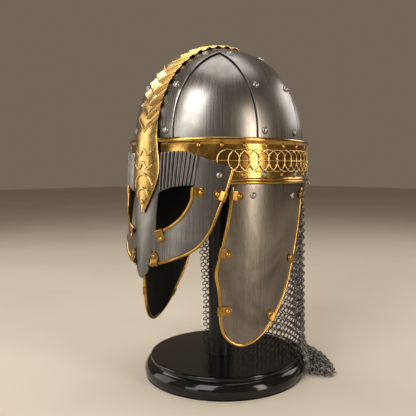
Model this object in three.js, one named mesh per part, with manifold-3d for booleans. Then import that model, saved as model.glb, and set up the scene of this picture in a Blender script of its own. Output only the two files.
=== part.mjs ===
// Norse iron helmet on a turned stand. Millimetres, +Z up, floor at Z 0.
// The face looks along -Y and the wearer's left is +X. Turn is measured in degrees from the
// front towards the wearer's left, climb in degrees above the level where the dome springs.
import * as THREE from 'three';
import { mergeVertices } from 'three/addons/utils/BufferGeometryUtils.js';
import Module from 'manifold-3d';

const wasm = await Module();
wasm.setup();
const rad = THREE.MathUtils.degToRad;
const clamp = THREE.MathUtils.clamp;

const AXIS_Y = -7; // helmet and post stand a little forward of the base's middle
const FIT_GAP = 0.3;

const RIVET = { sink: 0.9, shoulderWidth: 0.7, shoulderHeight: 0.75 };

const BASE = { top: 24, sides: 32 };
const BASE_PROFILE = [
  // radius, height
  [98.5, 0], [101.3, 6.5], [100.2, 13.2], [97, 17.6], [93.4, 19.8], [92.4, 21.6], [91.4, BASE.top],
];
const POST = { radius: 14.75, top: 405.5, sides: 24 };

const BOWL = { a: 101, b: 111, rise: 110.8, spring: 298, edge: 250, sheet: 1.3 };
const BOWL_CLIMBS = [0, 15, 30, 45, 59, 73, 87];
const BOWL_COLUMNS = 6;

const STRAP = { halfWidth: 35, clear: 0.85, sheet: 1.3, columns: 4, longRows: 24, sideRows: 10 };
const STRAP_OUT = STRAP.clear + STRAP.sheet; // outer face above the bowl plates
const STRAP_RIVET = { radius: 3.75, height: 2.6, sides: 6, offset: 26.5, climbs: [2, 31, 63] };

const BAND = { a: 105, b: 115, stations: 48 };
const BAND_PROFILE = [
  // offset from the band's face, height
  [-1.6, 241.7], [0.6, 241.7], [1, 244.2], [0, 246.9], [0, 288], [1, 291], [0.6, 293.8], [-1.6, 293.8],
];
const BAND_RIVET = { radius: 2.5, height: 1.7, sides: 5 };
const BAND_RIVET_ROWS = [
  // height, first turn, step in turn, count on each side
  { z: 285, first: 36.5, step: 13.33, count: 11 },
  { z: 251, first: 62.1, step: 13.1, count: 9 },
];

const CREST = {
  rearClimb: 97, // climb at run 0, just behind the crown
  mmPerDegree: 1.955,
  start: 5.6,
  pitch: 15.25,
  chevrons: 12,
  slope: 0.8, // how steeply each chevron's arms rise from its point
  clear: 0.45,
  flare: 3, // the strip stands out to pass over the band's rim
  flareFrom: 14, // climb where it starts to stand out
  columns: 4,
};
const CHEVRON_STATIONS = [
  // share of the pitch, half-width, lift of the face
  [0, 16.2, 1.7], [0.86, 19, 4.4],
];
const LEAF = { lean: 0.035, edgeLift: 1.3, middleLift: 2.6 };
const LEAF_STATIONS = [
  // height, half-width, slope left over from the chevrons
  [297.6, 16.2, 0.8], [289, 18.6, 0.35], [280, 20.2, 0], [271, 21.6, 0], [262, 22.5, 0], [252, 21.6, 0],
  [242, 18.6, 0], [232, 14.2, 0], [222, 9.2, 0], [213, 3.6, 0], [208.7, 0.7, 0],
];
const LEAF_RIB = { radius: 1, sides: 4, sink: 0.1 };
const LEAF_ZIGZAGS = [
  // upper and lower height, half-width
  { top: 281, bottom: 274.5, half: 14 }, { top: 266.5, bottom: 258, half: 15.5 },
];
const LEAF_ARCHES = [
  // crown and foot height, half-width
  { top: 252.5, bottom: 237, half: 15.5 }, { top: 237, bottom: 226.5, half: 9.5 },
];
const LEAF_RIVET = { radius: 2.4, height: 1.6, sides: 6, z: 221.5 };

const OCULAR = { a: 107.6, b: 116.7, lean: 0.035, leanFrom: 278, sheet: 1.3, columns: 3 };
const NASAL_RIDGE = { height: 2.2, from: 205, full: 150, halfTurn: 9 };
const FLUTES = { count: 10, height: 1.1, eye: [12.4, 34.6], brow: [13, 37.4] };
const BROW_TOP = [
  // turn, height
  [0, 276], [15, 277], [23, 278.4], [27, 278.2], [32, 276.1],
  [37.3, 272.4], [46, 266.9], [51, 262.5], [55, 258.6],
];
const NASAL_TOP = [
  // eye turn, eye height, edge turn, edge height
  [11.5, 230.6, 0, 276], [11.9, 232.3, 6.5, 276.4],
];
const EYE_TOP = [[11.9, 232.3], [16.3, 235.8], [21.5, 238.9], [25.5, 240.2], [29.3, 240.9], [35, 240.8]];
const EYE_CORNER = [[239.6, 43], [237.6, 49]]; // height up the eye's outer corner, turn of the brow above it
const EYE_LOW = [
  // turn, height
  [35.2, 235.4], [35, 231], [34.4, 226], [33.6, 221], [32.3, 216], [30.6, 210.5],
  [28.4, 205], [25.9, 200.4], [22.5, 195.3], [18.7, 191.1], [15.5, 188.7], [12.6, 187.1],
];
const OCULAR_EDGE = [
  [56.5, 257.4], [54.2, 241.4], [52.1, 228], [50.1, 219], [47.9, 207], [45.6, 194.7],
  [42.8, 184.9], [39.4, 176.2], [33.3, 167.3], [25.3, 160.6], [16.4, 154.6], [7, 151],
];
const NASAL_STATIONS = [
  // eye turn, eye height, edge turn, edge height, down round the nasal's tip and up its middle
  [10.6, 186.6, 6, 147], [10.4, 189, 3.6, 140.4], [10.4, 192, 0, 137.7],
  [10.4, 198, 0, 165], [10.4, 208, 0, 200], [10.9, 220, 0, 238],
];
const OCULAR_RIVET = { turn: 48.3, z: 251.8, radius: 3.2, height: 2.2, sides: 6 };
const OCULAR_WIRE = { radius: 1.6, sides: 5, edgeInset: 1.6, lift: 1, eyeSteps: 12, edgeSteps: 17 };
const OCULAR_EYE_CLIPS = [[36, 233.5], [14, 188]]; // turn and height beside the wire
const OCULAR_EDGE_CLIPS = [[51.5, 229], [10.4, 153]];

const CHEEK = { a: 102.6, b: 112.6, taper: 0.11, from: 240, over: 175, sheet: 1.3, columns: 5 };
const CHEEK_FRONT = [
  // turn, height of the wire's middle line, from the band down
  [56.6, 249.5], [56.4, 239], [55.9, 224.8], [53.6, 197.3], [50.7, 175.3], [47.6, 153.2], [46.7, 139.9],
  [48.2, 125.3], [49.1, 108.5], [49.5, 89.3], [51.4, 75.7], [56.1, 66.1], [62.3, 61.2],
];
const CHEEK_REAR = [
  [117.8, 249.5], [117.3, 239], [116.3, 224.8], [113.9, 197.3], [110.9, 175.3], [107.2, 153.2],
  [104.6, 139.9], [101.6, 125.3], [96.9, 108.5], [89.9, 91], [82.8, 76.5], [75, 66.6], [68.5, 62],
];
const CHEEK_RIVETS = [[69, 229.4], [101, 227.4]]; // turn, height
const CHEEK_RIVET = { radius: 3.4, height: 2.3, sides: 6 };
const CHEEK_WIRE = { radius: 1.9, sides: 5, clear: 0.9, steps: 30, lift: 0, firstPoint: 1 };
const CHEEK_CLIPS = [[56, 229], [49.5, 166.5], [49.3, 100.4], [116.6, 226.2], [106.6, 150.4], [88, 87]];

const CLIP = { sheet: 0.9, around: 1, width: 8, setback: 7.6, tail: 3.6, arc: [110, 30, -50], search: 200 };
const CLIP_RIVET = { radius: 2.2, height: 1.5, sides: 5 };

const MAIL = { a: 101.5, b: 111.5, sheet: 3, columns: 15, tuck: 6.5, tuckFrom: 117, tuckTo: 129 };
const MAIL_ROWS = [
  // swell of the wall; then least reach from the base's middle and height, outer face and inner face
  [3.2, 0, 241.4, 0, 241.4], [0.6, 0, 226, 0, 226], [0, 0, 196, 0, 196], [0, 0, 150, 0, 150],
  [0, 0, 100, 0, 100], [0, 99, 60, 96, 60], [0, 103.5, 36, 100.5, 36], [0, 106, 21, 103, 21], [0, 108, 11, 104.6, 9],
  [0, 113, 5.4, 108, 2.2], [0, 124, 3.8, 122, 0.6], [0, 137, 3.4, 137, 0.5],
];
const MAIL_FRONT_EDGE = [[0, 123], [30, 118.3], [96, 115.9], [148, 113.2], [241.4, 112]]; // height, turn

const metal = (color, roughness) => new THREE.MeshStandardMaterial({ color, roughness, metalness: 1 });
const STEEL = metal(0x8c8d8f, 0.35);
const BRASS = metal(0xc8963c, 0.3);
const MAIL_STEEL = metal(0x5c5d60, 0.45);
const BLACK_GLOSS = new THREE.MeshStandardMaterial({ color: 0x0c0c0d, roughness: 0.15 });

const helmet = new THREE.Group();
helmet.name = 'norse_helmet_on_stand';

function place(name, geometry, material) {
  geometry.computeVertexNormals();
  const mesh = new THREE.Mesh(geometry, material);
  mesh.name = name;
  helmet.add(mesh);
}

// Straight-line reading of a table of two columns.
function reading(table, at) {
  let k = 1;
  while (k < table.length - 1 && table[k][0] < at) k += 1;
  const [x0, y0] = table[k - 1];
  const [x1, y1] = table[k];
  return y0 + (y1 - y0) * clamp((at - x0) / (x1 - x0), 0, 1);
}

function facingOut(geometry) {
  const index = geometry.index.array;
  const spot = geometry.attributes.position;
  const [p, q, r] = [new THREE.Vector3(), new THREE.Vector3(), new THREE.Vector3()];
  let volume = 0;
  for (let k = 0; k < index.length; k += 3) {
    p.fromBufferAttribute(spot, index[k]);
    q.fromBufferAttribute(spot, index[k + 1]);
    r.fromBufferAttribute(spot, index[k + 2]);
    volume += p.dot(q.cross(r));
  }
  if (volume < 0) index.reverse();
  return geometry;
}

function bare(geometry) {
  geometry.deleteAttribute('normal');
  geometry.deleteAttribute('uv');
  return facingOut(mergeVertices(geometry, 1e-4));
}

function closedSolid(vertices, triangles) {
  const geometry = new THREE.BufferGeometry();
  const numbers = vertices.flatMap((vertex) => vertex.toArray());
  geometry.setAttribute('position', new THREE.Float32BufferAttribute(numbers, 3));
  geometry.setIndex(triangles);
  return facingOut(mergeVertices(geometry, 1e-4));
}

function joined(geometries) {
  const solids = geometries.map((geometry) => {
    const vertProperties = new Float32Array(geometry.attributes.position.array);
    const triVerts = new Uint32Array(geometry.index.array);
    return new wasm.Manifold(new wasm.Mesh({ numProp: 3, vertProperties, triVerts }));
  });
  const mesh = solids.reduce((sum, next) => sum.add(next)).getMesh();
  const geometry = new THREE.BufferGeometry();
  geometry.setAttribute('position', new THREE.Float32BufferAttribute(mesh.vertProperties, 3));
  geometry.setIndex(Array.from(mesh.triVerts));
  return geometry;
}

// A plate between two grids of points, walled along its four edges.
function plate(rows, columns, front, back) {
  const vertices = [];
  for (const face of [front, back]) {
    for (let i = 0; i <= rows; i += 1) {
      for (let j = 0; j <= columns; j += 1) vertices.push(face(i, j));
    }
  }
  const triangles = [];
  const at = (face, i, j) => face * (rows + 1) * (columns + 1) + i * (columns + 1) + j;
  const quad = (a, b, c, d) => triangles.push(a, b, c, a, c, d);
  for (let i = 0; i < rows; i += 1) {
    for (let j = 0; j < columns; j += 1) {
      quad(at(0, i, j), at(0, i, j + 1), at(0, i + 1, j + 1), at(0, i + 1, j));
      quad(at(1, i, j), at(1, i + 1, j), at(1, i + 1, j + 1), at(1, i, j + 1));
    }
    quad(at(0, i, 0), at(0, i + 1, 0), at(1, i + 1, 0), at(1, i, 0));
    quad(at(0, i, columns), at(1, i, columns), at(1, i + 1, columns), at(0, i + 1, columns));
  }
  for (let j = 0; j < columns; j += 1) {
    quad(at(0, 0, j), at(1, 0, j), at(1, 0, j + 1), at(0, 0, j + 1));
    quad(at(0, rows, j), at(0, rows, j + 1), at(1, rows, j + 1), at(1, rows, j));
  }
  return closedSolid(vertices, triangles);
}

function wire(points, radius, sides, steps) {
  const section = new THREE.Shape();
  for (let k = 0; k < sides; k += 1) {
    const turn = (2 * Math.PI * k) / sides;
    const corner = [radius * Math.cos(turn), radius * Math.sin(turn)];
    if (k === 0) section.moveTo(...corner);
    else section.lineTo(...corner);
  }
  section.closePath();
  const extrudePath = new THREE.CatmullRomCurve3(points);
  return bare(new THREE.ExtrudeGeometry(section, { steps, extrudePath, bevelEnabled: false }));
}

// A domed head, sunk a little so that it joins the sheet it sits on.
function rivet({ radius, height, sides }, spot, normal, sink = RIVET.sink) {
  const shoulder = [radius * RIVET.shoulderWidth, height * RIVET.shoulderHeight];
  const dome = [[0, -sink], [radius, -sink], shoulder, [0, height]];
  const head = new THREE.LatheGeometry(dome.map(([r, h]) => new THREE.Vector2(r, h)), sides);
  const turn = new THREE.Quaternion().setFromUnitVectors(new THREE.Vector3(0, 1, 0), normal);
  head.applyQuaternion(turn);
  head.translate(spot.x, spot.y, spot.z);
  return bare(head);
}

function wallPoint(a, b, turn, z) {
  return new THREE.Vector3(a * Math.sin(rad(turn)), AXIS_Y - b * Math.cos(rad(turn)), z);
}

function wallNormal(a, b, turn) {
  return new THREE.Vector3(Math.sin(rad(turn)) / a, -Math.cos(rad(turn)) / b, 0).normalize();
}

function mirroredName(name, side) {
  return `${name}_${side > 0 ? 'left' : 'right'}`;
}

function mirrored(geometry, side) {
  if (side > 0) return geometry;
  const twin = geometry.clone();
  twin.scale(-1, 1, 1);
  return facingOut(twin);
}

// Moves a line of turn and height pairs sideways by a distance along the sheet.
function shifted(line, distance, mmPerTurn) {
  return line.map(([turn, z], k) => {
    const before = line[Math.max(k - 1, 0)];
    const after = line[Math.min(k + 1, line.length - 1)];
    const along = new THREE.Vector2((after[0] - before[0]) * mmPerTurn, after[1] - before[1]).normalize();
    return [turn + (along.y * distance) / mmPerTurn, z - along.x * distance];
  });
}

// Stand
const baseProfile = [[0, 0], ...BASE_PROFILE, [0, BASE.top]].map(([r, z]) => new THREE.Vector2(r, z));
const base = new THREE.LatheGeometry(baseProfile, BASE.sides);
base.rotateX(Math.PI / 2);
place('stand_base', bare(base), BLACK_GLOSS);
const postFoot = BASE.top + FIT_GAP;
const post = new THREE.CylinderGeometry(POST.radius, POST.radius, POST.top - postFoot, POST.sides);
post.rotateX(Math.PI / 2);
post.translate(0, AXIS_Y, (POST.top + postFoot) / 2);
place('stand_post', bare(post), BLACK_GLOSS);

// Bowl plates, one to a quarter, with their seams under the straps
function bowlPoint(inset, turn, row) {
  const [a, b, rise] = [BOWL.a - inset, BOWL.b - inset, BOWL.rise - inset];
  if (row === 0) return wallPoint(a, b, turn, BOWL.edge);
  const climb = rad(BOWL_CLIMBS[row - 1]);
  return wallPoint(a * Math.cos(climb), b * Math.cos(climb), turn, BOWL.spring + rise * Math.sin(climb));
}
const QUARTERS = [
  { name: 'bowl_front_left', turn: 0, x: 1, y: -1 }, { name: 'bowl_back_left', turn: 90, x: 1, y: 1 },
  { name: 'bowl_back_right', turn: 180, x: -1, y: 1 }, { name: 'bowl_front_right', turn: 270, x: -1, y: -1 },
];
for (const quarter of QUARTERS) {
  const face = (inset) => (i, j) => bowlPoint(inset, quarter.turn + (90 * j) / BOWL_COLUMNS, i);
  const quarterPlate = plate(BOWL_CLIMBS.length, BOWL_COLUMNS, face(0), face(BOWL.sheet));
  quarterPlate.translate((quarter.x * FIT_GAP) / 2, (quarter.y * FIT_GAP) / 2, 0);
  place(quarter.name, quarterPlate, STEEL);
}

// Straps
function longStrapPoint(x, climb, out) {
  const narrowing = Math.sqrt(1 - (x / (BOWL.a + out)) ** 2);
  const y = AXIS_Y - (BOWL.b + out) * narrowing * Math.cos(rad(climb));
  return new THREE.Vector3(x, y, BOWL.spring + (BOWL.rise + out) * narrowing * Math.sin(rad(climb)));
}
function sideStrapPoint(y, climb, out) {
  const narrowing = Math.sqrt(1 - (y / (BOWL.b + out)) ** 2);
  const x = (BOWL.a + out) * narrowing * Math.cos(rad(climb));
  return new THREE.Vector3(x, AXIS_Y + y, BOWL.spring + (BOWL.rise + out) * narrowing * Math.sin(rad(climb)));
}
function domeNormal(point) {
  const [a, b, c] = [BOWL.a ** 2, BOWL.b ** 2, BOWL.rise ** 2];
  return new THREE.Vector3(point.x / a, (point.y - AXIS_Y) / b, (point.z - BOWL.spring) / c).normalize();
}
const acrossStrap = (j) => STRAP.halfWidth * ((2 * j) / STRAP.columns - 1);
const longStrapFace = (out) => (i, j) => {
  const last = STRAP.longRows;
  const climb = (180 * clamp(i - 1, 0, last - 2)) / (last - 2);
  const point = longStrapPoint(acrossStrap(j), climb, out);
  if (i === 0 || i === last) point.z = BOWL.edge;
  return point;
};
const sideStrapFace = (out) => (i, j) => {
  const y = acrossStrap(j);
  const half = sideStrapPoint(y, 0, out).x;
  const topClimb = THREE.MathUtils.radToDeg(Math.acos((STRAP.halfWidth + FIT_GAP) / half));
  const point = sideStrapPoint(y, (topClimb * Math.max(i - 1, 0)) / (STRAP.sideRows - 1), out);
  if (i === 0) point.z = BOWL.edge;
  return point;
};
const strapPlate = (rows, face) => plate(rows, STRAP.columns, face(STRAP_OUT), face(STRAP.clear));
const longStrap = [strapPlate(STRAP.longRows, longStrapFace)];
const sideStrap = [strapPlate(STRAP.sideRows, sideStrapFace)];
for (const climb of STRAP_RIVET.climbs) {
  for (const offset of [-STRAP_RIVET.offset, STRAP_RIVET.offset]) {
    for (const end of [climb, 180 - climb]) {
      const spot = longStrapPoint(offset, end, STRAP_OUT - FIT_GAP);
      longStrap.push(rivet(STRAP_RIVET, spot, domeNormal(spot)));
    }
    const spot = sideStrapPoint(offset, climb, STRAP_OUT - FIT_GAP);
    sideStrap.push(rivet(STRAP_RIVET, spot, domeNormal(spot)));
  }
}
place('strap_long', joined(longStrap), STEEL);
const leftStrap = joined(sideStrap);
for (const side of [1, -1]) place(mirroredName('strap', side), mirrored(leftStrap, side), STEEL);

// Brow band: one profile carried round the bowl's edge
function bandSolid() {
  const vertices = [];
  const triangles = [];
  const count = BAND_PROFILE.length;
  for (let k = 0; k < BAND.stations; k += 1) {
    const turn = (360 * k) / BAND.stations;
    for (const [out, z] of BAND_PROFILE) vertices.push(wallPoint(BAND.a + out, BAND.b + out, turn, z));
  }
  const at = (k, j) => (k % BAND.stations) * count + (j % count);
  for (let k = 0; k < BAND.stations; k += 1) {
    for (let j = 0; j < count; j += 1) {
      triangles.push(at(k, j), at(k + 1, j), at(k + 1, j + 1), at(k, j), at(k + 1, j + 1), at(k, j + 1));
    }
  }
  return closedSolid(vertices, triangles);
}
const band = [bandSolid()];
for (const row of BAND_RIVET_ROWS) {
  for (let k = 0; k < row.count; k += 1) {
    const turn = row.first + k * row.step;
    for (const side of [turn, -turn]) {
      band.push(rivet(BAND_RIVET, wallPoint(BAND.a, BAND.b, side, row.z), wallNormal(BAND.a, BAND.b, side)));
    }
  }
}
place('brow_band', joined(band), BRASS);

// Crest: chevrons over the crown, then a leaf down over the band and the brows
function crestPoint(x, run, lift) {
  const climb = CREST.rearClimb - run / CREST.mmPerDegree;
  if (climb >= 0) {
    const flare = CREST.flare * Math.max(0, 1 - climb / CREST.flareFrom) ** 2;
    return longStrapPoint(x, climb, STRAP_OUT + CREST.clear + flare + lift);
  }
  const below = run - CREST.rearClimb * CREST.mmPerDegree;
  const out = STRAP_OUT + CREST.clear + CREST.flare + LEAF.lean * below + lift;
  const point = longStrapPoint(x, 0, out);
  point.z -= below;
  return point;
}
const crestRows = [];
for (let k = 0; k < CREST.chevrons; k += 1) {
  for (const [share, half, lift] of CHEVRON_STATIONS) {
    const run = CREST.start + (k + share) * CREST.pitch;
    crestRows.push({ run, half, slope: CREST.slope, edge: lift, middle: lift });
  }
}
const leafRun = (z) => CREST.rearClimb * CREST.mmPerDegree + BOWL.spring - z;
for (const [z, half, slope] of LEAF_STATIONS) {
  crestRows.push({ run: leafRun(z), half, slope, edge: LEAF.edgeLift, middle: LEAF.middleLift });
}
const crestFace = (raised) => (i, j) => {
  const row = crestRows[i];
  const share = (2 * j) / CREST.columns - 1;
  const x = row.half * share;
  const lift = raised ? THREE.MathUtils.lerp(row.middle, row.edge, Math.abs(share)) : 0;
  return crestPoint(x, row.run - row.slope * Math.abs(x), lift);
};
function leafPoint(x, z) {
  const rows = LEAF_STATIONS.map(([height, half]) => [height, half]).reverse();
  const share = Math.abs(x) / reading(rows, z);
  const lift = THREE.MathUtils.lerp(LEAF.middleLift, LEAF.edgeLift, share);
  return crestPoint(x, leafRun(z), lift - LEAF_RIB.sink);
}
const crest = [plate(crestRows.length - 1, CREST.columns, crestFace(true), crestFace(false))];
const LEAF_RIB_SHARES = [-1, -0.75, -0.5, -0.25, 0, 0.25, 0.5, 0.75, 1];
for (const { top, bottom, half } of LEAF_ZIGZAGS) {
  const heights = [top, (top + bottom) / 2, bottom, (top + bottom) / 2];
  const points = LEAF_RIB_SHARES.map((share, k) => leafPoint(share * half, heights[k % heights.length]));
  crest.push(wire(points, LEAF_RIB.radius, LEAF_RIB.sides, LEAF_RIB_SHARES.length - 1));
}
for (const { top, bottom, half } of LEAF_ARCHES) {
  const points = LEAF_RIB_SHARES.map((share) => leafPoint(share * half, top + (bottom - top) * share ** 2));
  crest.push(wire(points, LEAF_RIB.radius, LEAF_RIB.sides, LEAF_RIB_SHARES.length - 1));
}
crest.push(rivet(LEAF_RIVET, leafPoint(0, LEAF_RIVET.z), new THREE.Vector3(0, -1, 0)));
place('crest', joined(crest), BRASS);

// Ocular: stations round each eye hole, the two halves meeting down the nasal
const OCULAR_TURN_MM = rad(1) * OCULAR.a;
function ocularPoint(turn, z, out) {
  const { height, from, full } = NASAL_RIDGE;
  const ridge = height * clamp((from - z) / (from - full), 0, 1);
  const rise = out + ridge * Math.max(0, 1 - Math.abs(turn) / NASAL_RIDGE.halfTurn);
  return wallPoint(OCULAR.a + rise, OCULAR.b + OCULAR.lean * (OCULAR.leanFrom - z) + rise, turn, z);
}
const edgeWire = shifted(OCULAR_EDGE, OCULAR_WIRE.edgeInset, OCULAR_TURN_MM);
const edgeClear = OCULAR_WIRE.radius + FIT_GAP;
const plateEdge = shifted(edgeWire, edgeClear, OCULAR_TURN_MM);
const eyeWire = shifted(EYE_LOW, edgeClear, OCULAR_TURN_MM);
const ocularStations = [];
const nasalStation = ([eyeTurn, eyeZ, edgeTurn, edgeZ]) => (
  { eye: [eyeTurn, eyeZ], edge: [edgeTurn, edgeZ], rise: 0 }
);
ocularStations.push(...NASAL_TOP.map(nasalStation));
for (let k = 0; k <= 2 * FLUTES.count; k += 1) {
  const share = k / (2 * FLUTES.count);
  const eyeTurn = THREE.MathUtils.lerp(...FLUTES.eye, share);
  const browTurn = THREE.MathUtils.lerp(...FLUTES.brow, share);
  const rise = k % 2 ? FLUTES.height : 0;
  const edge = [browTurn, reading(BROW_TOP, browTurn)];
  ocularStations.push({ eye: [eyeTurn, reading(EYE_TOP, eyeTurn)], edge, rise });
}
const cornerTurn = plateEdge[0][0];
for (const [eyeZ, browTurn] of [...EYE_CORNER, [EYE_LOW[0][1], cornerTurn]]) {
  ocularStations.push({ eye: [EYE_LOW[0][0], eyeZ], edge: [browTurn, reading(BROW_TOP, browTurn)], rise: 0 });
}
EYE_LOW.forEach((eye, k) => {
  if (k > 0) ocularStations.push({ eye, edge: plateEdge[k], rise: 0 });
});
ocularStations.push(...NASAL_STATIONS.map(nasalStation));
function ocularSolid() {
  const vertices = [];
  const triangles = [];
  const width = OCULAR.columns + 1;
  const count = ocularStations.length;
  for (const side of [1, -1]) {
    const first = vertices.length;
    const quad = (a, b, c, d) => {
      const corners = (side > 0 ? [a, b, c, a, c, d] : [a, c, b, a, d, c]).map((corner) => first + corner);
      triangles.push(...corners);
    };
    for (const face of [0, 1]) {
      for (const { eye, edge, rise } of ocularStations) {
        for (let j = 0; j < width; j += 1) {
          const share = j / OCULAR.columns;
          const turn = THREE.MathUtils.lerp(eye[0], edge[0], share);
          const out = face ? -OCULAR.sheet : rise;
          vertices.push(ocularPoint(side * turn, THREE.MathUtils.lerp(eye[1], edge[1], share), out));
        }
      }
    }
    const at = (face, k, j) => face * count * width + (k % count) * width + j;
    for (let k = 0; k < count; k += 1) {
      for (let j = 0; j < OCULAR.columns; j += 1) {
        quad(at(0, k, j), at(0, k, j + 1), at(0, k + 1, j + 1), at(0, k + 1, j));
        quad(at(1, k, j), at(1, k + 1, j), at(1, k + 1, j + 1), at(1, k, j + 1));
      }
      quad(at(0, k, 0), at(0, k + 1, 0), at(1, k + 1, 0), at(1, k, 0));
      const last = OCULAR.columns;
      const onMiddle = ocularStations[k].edge[0] === 0 && ocularStations[(k + 1) % count].edge[0] === 0;
      if (!onMiddle) quad(at(0, k, last), at(1, k, last), at(1, k + 1, last), at(0, k + 1, last));
    }
  }
  return closedSolid(vertices, triangles);
}
const ocular = [ocularSolid()];
for (const turn of [OCULAR_RIVET.turn, -OCULAR_RIVET.turn]) {
  const spot = ocularPoint(turn, OCULAR_RIVET.z, -FIT_GAP);
  ocular.push(rivet(OCULAR_RIVET, spot, wallNormal(OCULAR.a, OCULAR.b, turn), FIT_GAP));
}
place('ocular', joined(ocular), STEEL);

// Cheek plates
const CHEEK_TURN_MM = rad(1) * CHEEK.a;
function cheekPoint(turn, z, out) {
  const scale = 1 - CHEEK.taper * Math.max(0, (CHEEK.from - z) / CHEEK.over);
  return wallPoint(CHEEK.a * scale + out, CHEEK.b * scale + out, turn, z);
}
const cheekWire = [...CHEEK_FRONT, ...[...CHEEK_REAR].reverse()];
const cheekEdge = shifted(cheekWire, -(CHEEK_WIRE.radius + CHEEK_WIRE.clear), CHEEK_TURN_MM);
const cheekFace = (out) => (i, j) => {
  const front = cheekEdge[i];
  const rear = cheekEdge[cheekEdge.length - 1 - i];
  const share = j / CHEEK.columns;
  const z = THREE.MathUtils.lerp(front[1], rear[1], share);
  return cheekPoint(THREE.MathUtils.lerp(front[0], rear[0], share), z, out);
};
const cheek = [plate(CHEEK_FRONT.length - 1, CHEEK.columns, cheekFace(0), cheekFace(-CHEEK.sheet))];
for (const [turn, z] of CHEEK_RIVETS) {
  const spot = cheekPoint(turn, z, -FIT_GAP);
  cheek.push(rivet(CHEEK_RIVET, spot, wallNormal(CHEEK.a, CHEEK.b, turn), FIT_GAP));
}
const cheekPlate = joined(cheek);
for (const side of [1, -1]) place(mirroredName('cheek_plate', side), mirrored(cheekPlate, side), STEEL);

// Wires along the edges, and the clips that hold them
const ocularWirePoint = ([turn, z]) => ocularPoint(turn, z, OCULAR_WIRE.lift - OCULAR.sheet / 2);
const cheekWirePoint = ([turn, z]) => cheekPoint(turn, z, CHEEK_WIRE.lift - CHEEK.sheet / 2);
const cheekWireLine = cheekWire.slice(CHEEK_WIRE.firstPoint, cheekWire.length - CHEEK_WIRE.firstPoint);
const WIRES = [
  {
    name: 'ocular_eye_trim', line: eyeWire, point: ocularWirePoint, steps: OCULAR_WIRE.eyeSteps,
    size: OCULAR_WIRE, spots: OCULAR_EYE_CLIPS, clip: 'ocular_eye_clip', away: 1, sheet: OCULAR,
  },
  {
    name: 'ocular_edge_trim', line: edgeWire, point: ocularWirePoint, steps: OCULAR_WIRE.edgeSteps,
    size: OCULAR_WIRE, spots: OCULAR_EDGE_CLIPS, clip: 'ocular_edge_clip', away: -1, sheet: OCULAR,
  },
  {
    name: 'cheek_trim', line: cheekWireLine, point: cheekWirePoint, steps: CHEEK_WIRE.steps,
    size: CHEEK_WIRE, spots: CHEEK_CLIPS, clip: 'cheek_clip', away: 1, sheet: CHEEK,
  },
];

// A strap of sheet lying on the plate and bent over the wire, with a rivet through its tail.
function clipSolid(curve, [turn, z], { point, size, away: awaySign, sheet }) {
  const target = point([turn, z]);
  let share = 0;
  for (let k = 0; k <= CLIP.search; k += 1) {
    const trial = k / CLIP.search;
    const nearest = curve.getPointAt(share).distanceTo(target);
    if (curve.getPointAt(trial).distanceTo(target) < nearest) share = trial;
  }
  const spot = curve.getPointAt(share);
  const along = curve.getTangentAt(share);
  const outward = wallNormal(sheet.a, sheet.b, turn);
  outward.addScaledVector(along, -outward.dot(along)).normalize();
  const away = new THREE.Vector3().crossVectors(along, outward).multiplyScalar(awaySign);
  const inner = size.radius + CLIP.around;
  const under = sheet.sheet / 2 - size.lift + FIT_GAP;
  const end = -(CLIP.setback + CLIP.tail);
  const bend = (reach) => CLIP.arc.map(rad).map((angle) => [reach * Math.cos(angle), reach * Math.sin(angle)]);
  const outer = inner + CLIP.sheet;
  const profile = [
    [end, under], [-inner - FIT_GAP, under], ...bend(inner),
    ...bend(outer).reverse(), [-outer, under + CLIP.sheet], [end, under + CLIP.sheet],
  ];
  const section = new THREE.Shape(profile.map(([x, y]) => new THREE.Vector2(x, y)));
  const strip = bare(new THREE.ExtrudeGeometry(section, { depth: CLIP.width, bevelEnabled: false }));
  strip.translate(0, 0, -CLIP.width / 2);
  const seat = new THREE.Vector3(-CLIP.setback, under + CLIP.sheet, 0);
  const head = rivet(CLIP_RIVET, seat, new THREE.Vector3(0, 1, 0), CLIP.sheet / 2);
  const clip = joined([strip, head]);
  const third = new THREE.Vector3().crossVectors(away, outward);
  clip.applyMatrix4(new THREE.Matrix4().makeBasis(away, outward, third).setPosition(spot));
  return clip;
}
for (const trim of WIRES) {
  const points = trim.line.map(trim.point);
  const curve = new THREE.CatmullRomCurve3(points);
  const leftWire = wire(points, trim.size.radius, trim.size.sides, trim.steps);
  for (const side of [1, -1]) place(mirroredName(trim.name, side), mirrored(leftWire, side), BRASS);
  trim.spots.forEach((spot, k) => {
    const leftClip = clipSolid(curve, spot, trim);
    for (const side of [1, -1]) {
      place(`${mirroredName(trim.clip, side)}_${k + 1}`, mirrored(leftClip, side), BRASS);
    }
  });
}

// Mail curtain: one wall round the back, pushed out past the base, its hem lying on the table
const mailFace = (outer) => (i, j) => {
  const [swell, outReach, outZ, inReach, inZ] = MAIL_ROWS[i];
  const edge = reading(MAIL_FRONT_EDGE, outZ);
  const turn = edge + ((360 - 2 * edge) * j) / MAIL.columns;
  const behind = Math.min(turn, 360 - turn);
  const tuck = MAIL.tuck * (1 - THREE.MathUtils.smoothstep(behind, MAIL.tuckFrom, MAIL.tuckTo));
  const inset = tuck - swell + (outer ? 0 : MAIL.sheet);
  const point = wallPoint(MAIL.a - inset, MAIL.b - inset, turn, outer ? outZ : inZ);
  const reach = Math.hypot(point.x, point.y);
  const push = Math.max(1, (outer ? outReach : inReach) / reach);
  return point.setX(point.x * push).setY(point.y * push);
};
place('mail_curtain', plate(MAIL_ROWS.length - 1, MAIL.columns, mailFace(true), mailFace(false)), MAIL_STEEL);

export default helmet;
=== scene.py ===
"""A norse iron helmet with brass fittings and a mail curtain, on its black turned stand."""
import math
import random

import bmesh
import bpy
from mathutils import Matrix, Vector


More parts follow.
